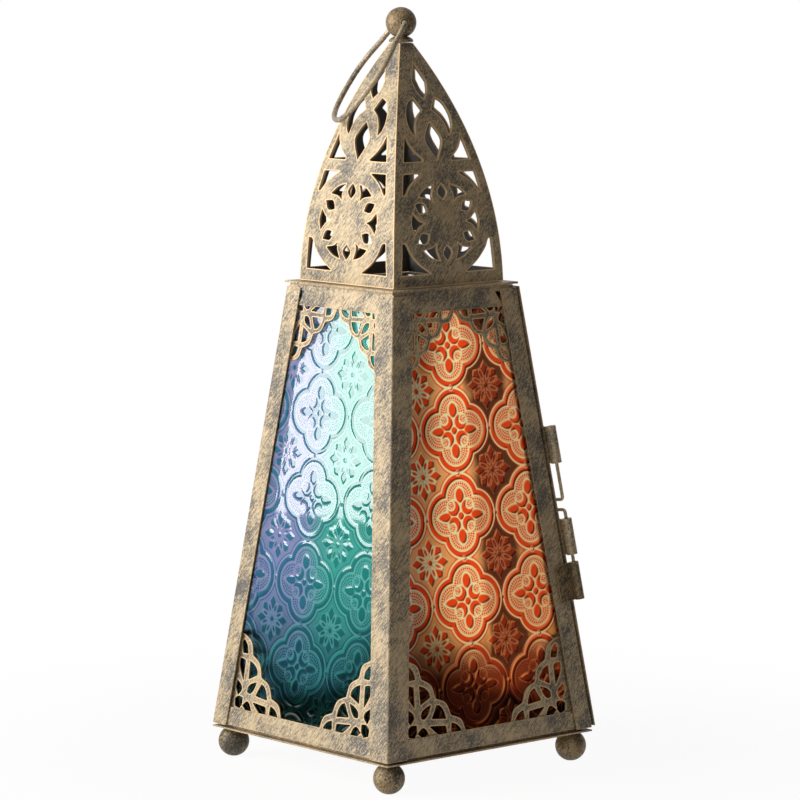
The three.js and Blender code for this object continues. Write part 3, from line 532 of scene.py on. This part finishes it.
def bent_loop(points, steps=7):
    """A closed line through rows of (x, y, bends). Each side is a cubic whose end slopes are the
    chord at a corner and half the chord between the neighbours where the line bends through."""
    points = np.asarray(points, float)
    spot, bends = points[:, :2], points[:, 2:] > 0
    after, before = np.roll(spot, -1, 0), np.roll(spot, 1, 0)
    mean = (after - before) / 2
    leaving = np.where(bends, mean, after - spot)
    arriving = np.roll(np.where(bends, mean, spot - before), -1, 0)
    t = np.linspace(0, 1, steps, endpoint=False)[None, :, None]
    spot, after, leaving, arriving = (value[:, None] for value in (spot, after, leaving, arriving))
    curve = ((1 + 2 * t) * (1 - t) ** 2 * spot + t * (1 - t) ** 2 * leaving
             + t ** 2 * (3 - 2 * t) * after + t ** 2 * (t - 1) * arriving)
    return curve.reshape(-1, 2)


def depth_inside(u, v, loop):
    """Distance to a closed line, positive inside: least distance to its sides, and the sign from how
    many sides a ray towards +u crosses."""
    start, end = loop, np.roll(loop, -1, 0)
    side = end - start
    pu, pv = u[..., None] - start[:, 0], v[..., None] - start[:, 1]
    t = np.clip((pu * side[:, 0] + pv * side[:, 1]) / np.maximum((side ** 2).sum(1), 1e-12), 0, 1)
    nearest = np.hypot(pu - t * side[:, 0], pv - t * side[:, 1]).min(-1)
    crosses = (start[:, 1] > v[..., None]) != (end[:, 1] > v[..., None])
    safe = np.where(side[:, 1] == 0, 1, side[:, 1])
    to_right = pu < side[:, 0] * pv / safe
    return np.where((crosses & to_right).sum(-1) % 2 == 1, nearest, -nearest)


# How a cell of a cut sheet is filled, by which of its corners a, b, c, d lie in the sheet: 0 to 3
# are the corners, 4 to 7 the cuts on the sides ab, bc, cd, da. Then where the cut runs.
CELL_FACES = {
    1: [[0, 4, 7]], 2: [[4, 1, 5]], 3: [[0, 1, 5, 7]], 4: [[5, 2, 6]], 5: [[0, 4, 7], [5, 2, 6]],
    6: [[4, 1, 2, 6]], 7: [[0, 1, 2, 6, 7]], 8: [[7, 6, 3]], 9: [[0, 4, 6, 3]],
    10: [[4, 1, 5], [7, 6, 3]], 11: [[0, 1, 5, 6, 3]], 12: [[7, 5, 2, 3]], 13: [[0, 4, 5, 2, 3]],
    14: [[4, 1, 2, 3, 7]], 15: [[0, 1, 2, 3]],
}
CELL_CUTS = {
    1: [[4, 7]], 2: [[5, 4]], 3: [[5, 7]], 4: [[6, 5]], 5: [[4, 7], [6, 5]], 6: [[6, 4]], 7: [[6, 7]],
    8: [[7, 6]], 9: [[4, 6]], 10: [[5, 4], [7, 6]], 11: [[5, 6]], 12: [[7, 5]], 13: [[4, 5]], 14: [[7, 4]],
}


def cut_sheet(name, u, v, depth, place, matrix, edge_width=0.9):
    """Sheet metal kept where depth, the distance to the nearest cut, is positive on a grid of (u, v).
    Cells are trimmed along the line where depth is 0, for the face and the back alike, and walls
    join the two. place(u, v, back) gives the points of either side in millimetres."""
    rows, columns = depth.shape
    corner = np.arange(rows * columns).reshape(rows, columns)
    flat = corner[-1, -1] + 1 + np.arange(rows * (columns - 1)).reshape(rows, columns - 1)
    steep = flat[-1, -1] + 1 + np.arange((rows - 1) * columns).reshape(rows - 1, columns)
    ids = np.stack([corner[:-1, :-1], corner[:-1, 1:], corner[1:, 1:], corner[1:, :-1],
                    flat[:-1], steep[:, 1:], flat[1:], steep[:, :-1]], -1)

    def crossing(values, cut, axis):
        """Values where the cut falls on the grid's sides along an axis."""
        first, second = (values[:, :-1], values[:, 1:]) if axis else (values[:-1], values[1:])
        return first + (second - first) * cut

    def cut_share(axis):
        """How far along each side the depth is 0, kept a little off the corners."""
        first, second = (depth[:, :-1], depth[:, 1:]) if axis else (depth[:-1], depth[1:])
        gap = np.where(first == second, 1, first - second)
        return np.clip(first / gap, 0.06, 0.94)

    flat_cut, steep_cut = cut_share(1), cut_share(0)
    every_u, every_v = (np.concatenate([value.ravel(), crossing(value, flat_cut, 1).ravel(),
                                        crossing(value, steep_cut, 0).ravel()]) for value in (u, v))
    nearness = np.ones(len(every_u))
    nearness[:rows * columns] = 1 - np.clip(depth.ravel() / edge_width, 0, 1)
    kept = depth > 0
    code = kept[:-1, :-1] + 2 * kept[:-1, 1:] + 4 * kept[1:, 1:] + 8 * kept[1:, :-1]
    total = len(every_u)
    faces = []
    for case, polygons in CELL_FACES.items():
        cell = ids[code == case]
        for polygon in polygons:
            faces += cell[:, polygon].tolist()
            faces += (cell[:, polygon[::-1]] + total).tolist()
    for case, cuts in CELL_CUTS.items():
        cell = ids[code == case]
        for start, end in cuts:
            a, b = cell[:, start], cell[:, end]
            faces += np.stack([b, a, a + total, b + total], -1).tolist()
    points = np.concatenate([place(every_u, every_v, False), place(every_u, every_v, True)])
    used = np.zeros(2 * total, bool)
    used[np.concatenate([np.asarray(face) for face in faces])] = True
    renumber = np.cumsum(used) - 1
    sizes = np.array([len(face) for face in faces])
    joined = renumber[np.concatenate([np.asarray(face) for face in faces])]
    faces = np.split(joined, np.cumsum(sizes)[:-1])
    mesh = bpy.data.meshes.new(name)
    mesh.from_pydata(place_all(points[used], matrix).tolist(), [], [face.tolist() for face in faces])
    for attribute, value in (("cut_edge", np.tile(nearness, 2)),
                             ("unbrushed", np.repeat([0.0, 1.0], total))):
        mesh.attributes.new(attribute, "FLOAT", "POINT").data.foreach_set("value", value[used])
    return mesh


def bracket(name, top, side, inset, shift, face, matrix, opening=None):
    """One bracket. Its outline and holes are laid out along and across the corner's bisector, then
    turned into the wall's (u, v). opening trims it to the door's opening."""
    scale = BRACKET_REACH * (TOP_SCALE if top else 1)
    move = TOP_SHIFT if top else 0
    up = -1 if top else 1
    half = (math.pi / 2 + (LEAN if top else -LEAN)) / 2
    corner_v, corner_inset = TOP_CORNER if top else BOTTOM_CORNER
    corner_u = POST_HALF - corner_v * math.sin(LEAN) - corner_inset - inset
    bisector = np.array([-math.cos(half), up * math.sin(half)])
    across = np.array([-math.sin(half), -up * math.cos(half)])

    def lay(points):
        """Shares of the reach to wall millimetres."""
        points = np.asarray(points, float)
        along = points[:, :1] * scale + move
        spot = np.array([corner_u, corner_v]) + along * bisector + points[:, 1:2] * scale * across
        return np.concatenate([spot * [side, 1] + [shift, 0], points[:, 2:]], 1)

    leg = BRACKET_LEG / scale
    rim = []
    for (a0, c0), (a1, c1) in zip(SCALLOPS[:-1], SCALLOPS[1:]):
        bulge = SCALLOP_BULGE / BRACKET_REACH / math.hypot(a1 - a0, c1 - c0)
        rim.append([a0, c0, 0])
        rim.append([(a0 + a1) / 2 - (c1 - c0) * bulge, (c0 + c1) / 2 + (a1 - a0) * bulge, 1])
    tip = SCALLOPS[0]
    leg_tip = [tip[0] - leg * math.sin(half), tip[1] + leg * math.cos(half)]
    rim += [[*SCALLOPS[-1], 0], [leg_tip[0], -leg_tip[1], 0],
            [-leg / math.sin(half) - move / scale, 0, 0], [*leg_tip, 0]]
    outline = bent_loop(lay(rim))
    low, high = outline.min(0) - 0.6, outline.max(0) + 0.6
    columns, rows = np.ceil((high - low) / BRACKET_GRID).astype(int)
    u, v = np.meshgrid(np.linspace(low[0], high[0], columns), np.linspace(low[1], high[1], rows))
    depth = depth_inside(u, v, outline)
    mirrored = [[[a, -c, bends] for a, c, bends in hole] for hole in SIDE_HOLES]
    for hole in AXIS_HOLES + SIDE_HOLES + mirrored:
        depth = np.minimum(depth, -depth_inside(u, v, bent_loop(lay(hole))) - HOLE_EASE)
    if opening is not None:
        depth = np.minimum(depth, POST_HALF - opening - v * math.sin(LEAN) - np.abs(u))

    def place(u, v, back):
        """The sheet is flat, a thickness deep behind its face."""
        return np.stack([u, v, np.full_like(u, face - BRACKET_SHEET * back)], -1)

    return cut_sheet(name, u, v, depth, place, matrix)


DOOR_OPENING = 9.2
bracket_walls = (
    ("front", 0, 0, 0.4, -1.6, None, "lantern_body"),
    ("left", 3, 0, -1.5, -1.6, None, "lantern_body"),
    ("back", 2, 0, 0, -1.6, None, "lantern_body"),
    ("door", 1, 0.6, 0, -0.1, DOOR_OPENING, "door"),
)
for wall_name, wall, inset, shift, face, opening, body in bracket_walls:
    for level in ("bottom", "top"):
        for hand, side in (("left", -1), ("right", 1)):
            spot = f"{wall_name}_{level}_{hand}"
            mesh = bracket(spot, level == "top", side, inset, shift, face, wall_matrix(wall), opening)
            hand_in(f"corner_bracket_{spot}", mesh, antiqued_brass, "antiqued_brass", body,
                    f"filigree_{spot}")


# Dome: four panels of heavier sheet, pierced flat, rolled to one arc and soldered along the
# ridges. A panel's points are (u, s), s measured along the arc from its foot.
ARC_RADIUS = 201.7
ARC_START = 0.02132
DOME_FOOT = 192.248
DOME_FOOT_HALF = 28.55
DOME_LENGTH = 98.03
DOME_SHEET = 1.2
RIDGE_GAP = 0.02
RIDGE_BORDER = 4.2
RING_CENTRE = 24.6
RING_OUTER = (22.7, 21.05)
RING_INNER = (17.7, 15.7)
DOME_ROWS = 216
DOME_COLUMNS = 128


def arc_point(s, n):
    """How far out and how high a point of the panel's arc lies, n off its outer face."""
    angle = ARC_START + s / ARC_RADIUS
    out = DOME_FOOT_HALF - ARC_RADIUS * math.cos(ARC_START)
    return (out + (ARC_RADIUS + n) * np.cos(angle),
            DOME_FOOT - ARC_RADIUS * math.sin(ARC_START) + (ARC_RADIUS + n) * np.sin(angle))


def edge(s):
    """Half the width between the ridge borders."""
    return arc_point(s, 0)[0] - RIDGE_BORDER


def around(share, sign):
    """Points on the ring's outer edge, by their share of its half width; sign is the half."""
    share = np.asarray(share)
    return [[u, RING_CENTRE + sign * RING_OUTER[1] * math.sqrt(1 - u * u / RING_OUTER[0] ** 2), 1]
            for u in share * RING_OUTER[0]]


def in_ring(turn, points):
    """A rosette cut-out, drawn along +r and turned; points are shares of the ring's inner edge."""
    r, w, bends = np.asarray(points, float).T
    return np.stack([RING_INNER[0] * (r * math.cos(turn) - w * math.sin(turn)),
                     RING_CENTRE + RING_INNER[1] * (r * math.sin(turn) + w * math.cos(turn)), bends], -1)


DIAMOND = [[0.57, 0, 0], [0.69, -0.11, 1], [0.8, -0.125, 1],
           [0.97, 0, 0], [0.8, 0.125, 1], [0.69, 0.11, 1]]
FAN = [[0.6, 0, 0], [0.76, -0.075, 1], [0.932, -0.275, 0],
       [0.985, 0, 1], [0.932, 0.275, 0], [0.76, 0.075, 1]]
dome_cuts = []
for i in range(6):
    dome_cuts.append(in_ring(math.pi / 2 + i * math.pi / 3, DIAMOND))
    dome_cuts.append(in_ring(i * math.pi / 3, FAN))
halves = [
    [[edge(4.9), 4.9, 0], [edge(17.3), 17.3, 0], *around(np.linspace(0.93, 0.5, 6), -1), [9.0, 4.9, 0]],
    [[edge(36.0), 36.0, 0], [edge(44.1), 44.1, 0], [9.3, 44.1, 0], *around(np.linspace(0.52, 0.84, 4), 1)],
    [[edge(48.9), 48.9, 0], [edge(59.5), 59.5, 0], [13.0, 56.0, 1], [10.6, 52.6, 1], [7.2, 49.7, 0],
     [7.4, 48.9, 0]],
    [[5.4, 74.6, 0], [2.4, 69.6, 0], [5.6, 67.0, 1], [7.8, 63.2, 1], [8.6, 58.9, 0], [10.6, 61.2, 1],
     [11.4, 65.4, 1], [10.6, 69.4, 1], [8.6, 72.8, 1]],
]
for points in halves:
    points = np.asarray(points, float)
    dome_cuts += [points, points * [-1, 1, 1]]
dome_cuts.append([[0, 48.9, 0], [4.2, 56.7, 1], [2.6, 61.2, 1],
                  [0, 64.6, 0], [-2.6, 61.2, 1], [-4.2, 56.7, 1]])
dome_cuts.append([[0, 74.0, 0], [2.6, 77.2, 1], [3.6, 81.4, 0],
                  [0, 89.6, 0], [-3.6, 81.4, 0], [-2.6, 77.2, 1]])
dome_loops = [bent_loop(points) for points in dome_cuts]


def dome_panel(name, wall, shift):
    """One panel: the piercing leans sideways by shift from the ring's centre upwards, the sides are
    mitred from the outer face's ridge line to the inner one's."""
    s = np.linspace(-0.5, DOME_LENGTH + 0.5, DOME_ROWS)[:, None]
    u = np.linspace(-1.03, 1.03, DOME_COLUMNS)[None, :] * arc_point(s, 0)[0]
    s = np.broadcast_to(s, u.shape)
    ridge = arc_point(s, 0)[0] - RIDGE_GAP
    depth = np.minimum(ridge - np.abs(u), np.minimum(s, DOME_LENGTH - s))
    pattern_u = u - shift * np.minimum(1, s / RING_CENTRE)
    for loop in dome_loops:
        near = (np.abs(s - loop[:, 1].mean()) < np.ptp(loop[:, 1]) / 2 + 2).any(1)
        depth[near] = np.minimum(depth[near], -depth_inside(pattern_u[near], s[near], loop))

    def place(u, s, back):
        """The back's border is narrowed so that its edge follows the mitre."""
        ridge = arc_point(s, 0)[0] - RIDGE_GAP
        into_border = np.clip((np.abs(u) - ridge + RIDGE_BORDER) / RIDGE_BORDER, 0, 1)
        narrower = ridge - arc_point(s, -DOME_SHEET)[0] + RIDGE_GAP
        out, height = arc_point(s, -DOME_SHEET * back)
        return np.stack([u - np.sign(u) * into_border * narrower * back, -out, height], -1)

    return cut_sheet(name, u, s, depth, place, Matrix.Rotation(wall * math.pi / 2, 4, "Z"))


for name, wall, shift in (("front", 0, 0), ("right", 1, 0), ("back", 2, 0), ("left", 3, -1.2)):
    hand_in(f"pierced_panel_{name}", dome_panel(name, wall, shift), antiqued_brass, "antiqued_brass",
            "lantern_body", f"dome_panel_{name}")


# Finial and ring handle: a turned neck cups a cast ball, bored through for the ends of a loop of
# brass wire, which can swing over the top.
BALL_CENTRE = 293.858
BALL_RADIUS = 6.06
BALL_BORE = 1.5
WIRE_RADIUS = 1.05
HANDLE_TURN = math.radians(242)
HANDLE_DROOP = math.radians(55.5)
neck = np.array([[0.3, 286.248], [4.8, 286.248], [4.8, 287.048], [4.3, 287.5], [3.2, 288.248],
                 [2.2, 287.82], [0.3, 287.53]])
hand_in("turned_neck", skin("neck", turned(neck, 48)), dark_brass, "dark_brass", "lantern_body",
        "finial_neck")
handle_axis = Vector((math.cos(HANDLE_TURN), math.sin(HANDLE_TURN), 0))
ball_start = math.asin(BALL_BORE / BALL_RADIUS)
ball_angle = np.linspace(ball_start, math.pi - ball_start, 40)
ball = np.stack([BALL_RADIUS * np.sin(ball_angle), -BALL_RADIUS * np.cos(ball_angle)], 1)
ball_turn = handle_axis.to_track_quat("Z", "Y").to_matrix().to_4x4()
ball_frame = Matrix.Translation((0, 0, BALL_CENTRE)) @ ball_turn
hand_in("bored_ball", skin("ball", turned(ball, 56, ball_frame), loop=True), dark_brass,
        "antiqued_brass", "lantern_body", "finial_ball")


def wire(name, path, radius, columns, matrix):
    """Round wire along a path in its frame's (x, y) plane: a circle is carried across the path."""
    along = np.gradient(path, axis=0)
    along /= np.linalg.norm(along, axis=1, keepdims=True)
    angle = np.arange(columns) * 2 * np.pi / columns
    across = np.stack([-along[:, 1], along[:, 0]], -1)[:, None] * (radius * np.cos(angle))[None, :, None]
    lift = np.broadcast_to(radius * np.sin(angle), across.shape[:2])
    return skin(name, place_all(np.dstack([path[:, None] + across, lift]), matrix))


def smooth_path(points, steps):
    """A line through points that bends at each of them, from the cubic sides of a bent loop."""
    points = np.asarray(points, float)
    loop = bent_loop(np.concatenate([points, np.ones((len(points), 1))], 1), steps)
    return loop[:(len(points) - 1) * steps + 1]


# One half of the loop from the ball's bore outwards: along the axis, and down the hanging loop
half_handle = np.array([[6.6, 0.0], [7.7, 0.5], [8.3, 1.7], [10.3, 4.8], [12.8, 9.4], [16.6, 14.6],
                        [19.2, 20.2], [19.7, 26.0], [18.3, 32.2], [15.8, 37.8], [12.2, 42.0], [6.6, 45.1]])
handle_points = np.concatenate([[[3.4, 0], [5.2, 0]], half_handle, [[0, 46]]])
handle_points = np.concatenate([handle_points, handle_points[-2::-1] * [-1, 1]])
hang = Vector((-math.sin(HANDLE_TURN), math.cos(HANDLE_TURN), 0)) * -math.cos(HANDLE_DROOP)
hang.z = -math.sin(HANDLE_DROOP)
handle_frame = Matrix((handle_axis, hang, handle_axis.cross(hang))).transposed().to_4x4()
handle_frame.translation = (0, 0, BALL_CENTRE)
handle = wire("handle", smooth_path(handle_points, 6), WIRE_RADIUS, 20, handle_frame)
hand_in("wire_ring_handle", handle, antiqued_brass, "antiqued_brass", "ring_handle", "ring_handle")


# Candle cup: a shallow pressed cup that stands on the base plate and holds a tea light or a
# small candle.
cup = np.array([[0.3, 12.6], [19.6, 12.6], [20, 13.0], [20, 20.4], [19.8, 20.6], [19.4, 20.6],
                [19.2, 20.4], [19.2, 13.8], [18.8, 13.4], [0.3, 13.4]])
hand_in("pressed_cup", skin("cup", turned(cup, 96)), antiqued_brass, "antiqued_brass", "lantern_body",
        "candle_cup")


# Studio: white paper below and around, one large soft lamp at the back left that the left wall
# mirrors, and dark cards that only reflections show. The camera is where the photograph's was.
CAMERA_SPOT = (-1.054672, -1.220557, 0.3399)
CAMERA_HEADING = -40.810
CAMERA_PITCH = -6.910
CAMERA_ROLL = -0.06
camera_data = bpy.data.cameras.new("camera")
camera_data.sensor_width = 36
camera_data.lens = 184.05
camera_data.clip_start = 0.1
camera = bpy.data.objects.new("camera", camera_data)
bpy.context.scene.collection.objects.link(camera)
camera.matrix_world = (Matrix.Translation(CAMERA_SPOT)
                       @ Matrix.Rotation(math.radians(CAMERA_HEADING), 4, "Z")
                       @ Matrix.Rotation(math.radians(90 + CAMERA_PITCH), 4, "X")
                       @ Matrix.Rotation(math.radians(CAMERA_ROLL), 4, "Z"))
bpy.context.scene.camera = camera


def seen_as_white(tree):
    """1 for what the camera sees directly, mirrored or through glass; 0 for what only lights."""
    path = add(tree, "LightPath")
    seen = add(tree, "Math", {0: path.outputs["Is Camera Ray"], 1: path.outputs["Is Glossy Ray"]},
               operation="MAXIMUM")
    return add(tree, "Math", {0: seen, 1: path.outputs["Is Transmission Ray"]}, operation="MAXIMUM")


def stage_sheet(name, corners, material):
    """A flat sheet of the studio, no part of the lantern."""
    mesh = bpy.data.meshes.new(name)
    mesh.from_pydata([tuple(corner) for corner in corners], [], [(0, 1, 2, 3)])
    mesh.materials.append(material)
    made = bpy.data.objects.new(name, mesh)
    bpy.context.scene.collection.objects.link(made)


white_paper, tree = new_material("white_paper")
paper = add(tree, "BsdfDiffuse", {"Color": linear("#F0F0F0")})
glow = add(tree, "Emission", {"Color": (1, 1, 1, 1), "Strength": 1.0})
away = add(tree, "VectorMath", {0: add(tree, "TexCoord").outputs["Object"]}, operation="LENGTH")
fade = add(tree, "MapRange", {"Value": away.outputs["Value"], "From Min": 0.1, "From Max": 0.3,
                              "To Min": 0.94, "To Max": 1.0}, interpolation_type="SMOOTHSTEP")
share = add(tree, "Math", {0: seen_as_white(tree), 1: fade}, operation="MULTIPLY")
add(tree, "OutputMaterial", {"Surface": add(tree, "MixShader", {0: share, 1: paper, 2: glow})})
stage_sheet("floor", [(-4, -4, 0), (4, -4, 0), (4, 4, 0), (-4, 4, 0)], white_paper)

# Dark cards, which only reflections show: what the lantern's walls mirror beside the lamp
dark_card, tree = new_material("dark_card")
card = add(tree, "BsdfDiffuse", {"Color": linear("#1A1A1A")})
clear = add(tree, "BsdfTransparent")
shown = add(tree, "LightPath").outputs["Is Glossy Ray"]
add(tree, "OutputMaterial", {"Surface": add(tree, "MixShader", {0: shown, 1: clear, 2: card})})
cards = (
    ("front_card", (-0.3, -1.6, 0.0), (1.5, -0.2, 0.0), (1.3, -0.2, 1.9), (-0.3, -1.4, 1.9)),
    ("back_card", (-1.6, -0.1, 0.0), (0.0, 1.5, 0.0), (0.0, 1.5, 1.9), (-1.6, -0.1, 1.9)),
    ("floor_card", (0.02, -0.2, 0.001), (0.2, -0.14, 0.001), (1.5, -1.2, 0.001), (0.2, -1.6, 0.001)),
    ("low_card", (-0.44, 0.11, 0), (-0.16, 0.37, 0), (-0.16, 0.37, 0.085), (-0.44, 0.11, 0.085)),
)
for name, *corners in cards:
    stage_sheet(name, corners, dark_card)

world = bpy.data.worlds.new("surround")
bpy.context.scene.world = world
world.use_nodes = True
world.node_tree.nodes.clear()
tree = world.node_tree
FILL = (0.24, 0.217, 0.19, 1)
surround = add(tree, "Mix", {0: seen_as_white(tree), "A": FILL, "B": (1, 1, 1, 1)}, data_type="RGBA")
add(tree, "OutputWorld", {"Surface": add(tree, "Background", {"Color": surround, "Strength": 1.0})})


# The lamp's lower and far edges show in the left pane, so its corner is placed by that mirror
# image: one metre away, 15 mm beyond the wall's mirror line and 66 mm up
mirror_line = Vector((-0.664, 0.757, 0.043)).normalized()
level_right = mirror_line.cross(Vector((0, 0, 1))).normalized()
level_up = level_right.cross(mirror_line)
KEY_SIZE = 0.9
KEY_TILT = math.radians(4.7)
KEY_WATTS = 17
key_right = level_right * math.cos(KEY_TILT) - level_up * math.sin(KEY_TILT)
key_up = level_up * math.cos(KEY_TILT) + level_right * math.sin(KEY_TILT)
key_centre = (mirror_line + level_right * 0.015 + level_up * 0.066
              - key_right * KEY_SIZE / 2 + key_up * KEY_SIZE / 2)
key_data = bpy.data.lights.new("key", "AREA")
key_data.shape = "SQUARE"
key_data.size = KEY_SIZE
key_data.energy = KEY_WATTS
key = bpy.data.objects.new("key", key_data)
bpy.context.scene.collection.objects.link(key)
key_turn = (-mirror_line).to_track_quat("-Z", "Y").to_matrix().to_4x4()
key.matrix_world = Matrix.Translation(key_centre) @ key_turn @ Matrix.Rotation(KEY_TILT, 4, "Z")

bpy.context.scene.view_settings.view_transform = "Standard"
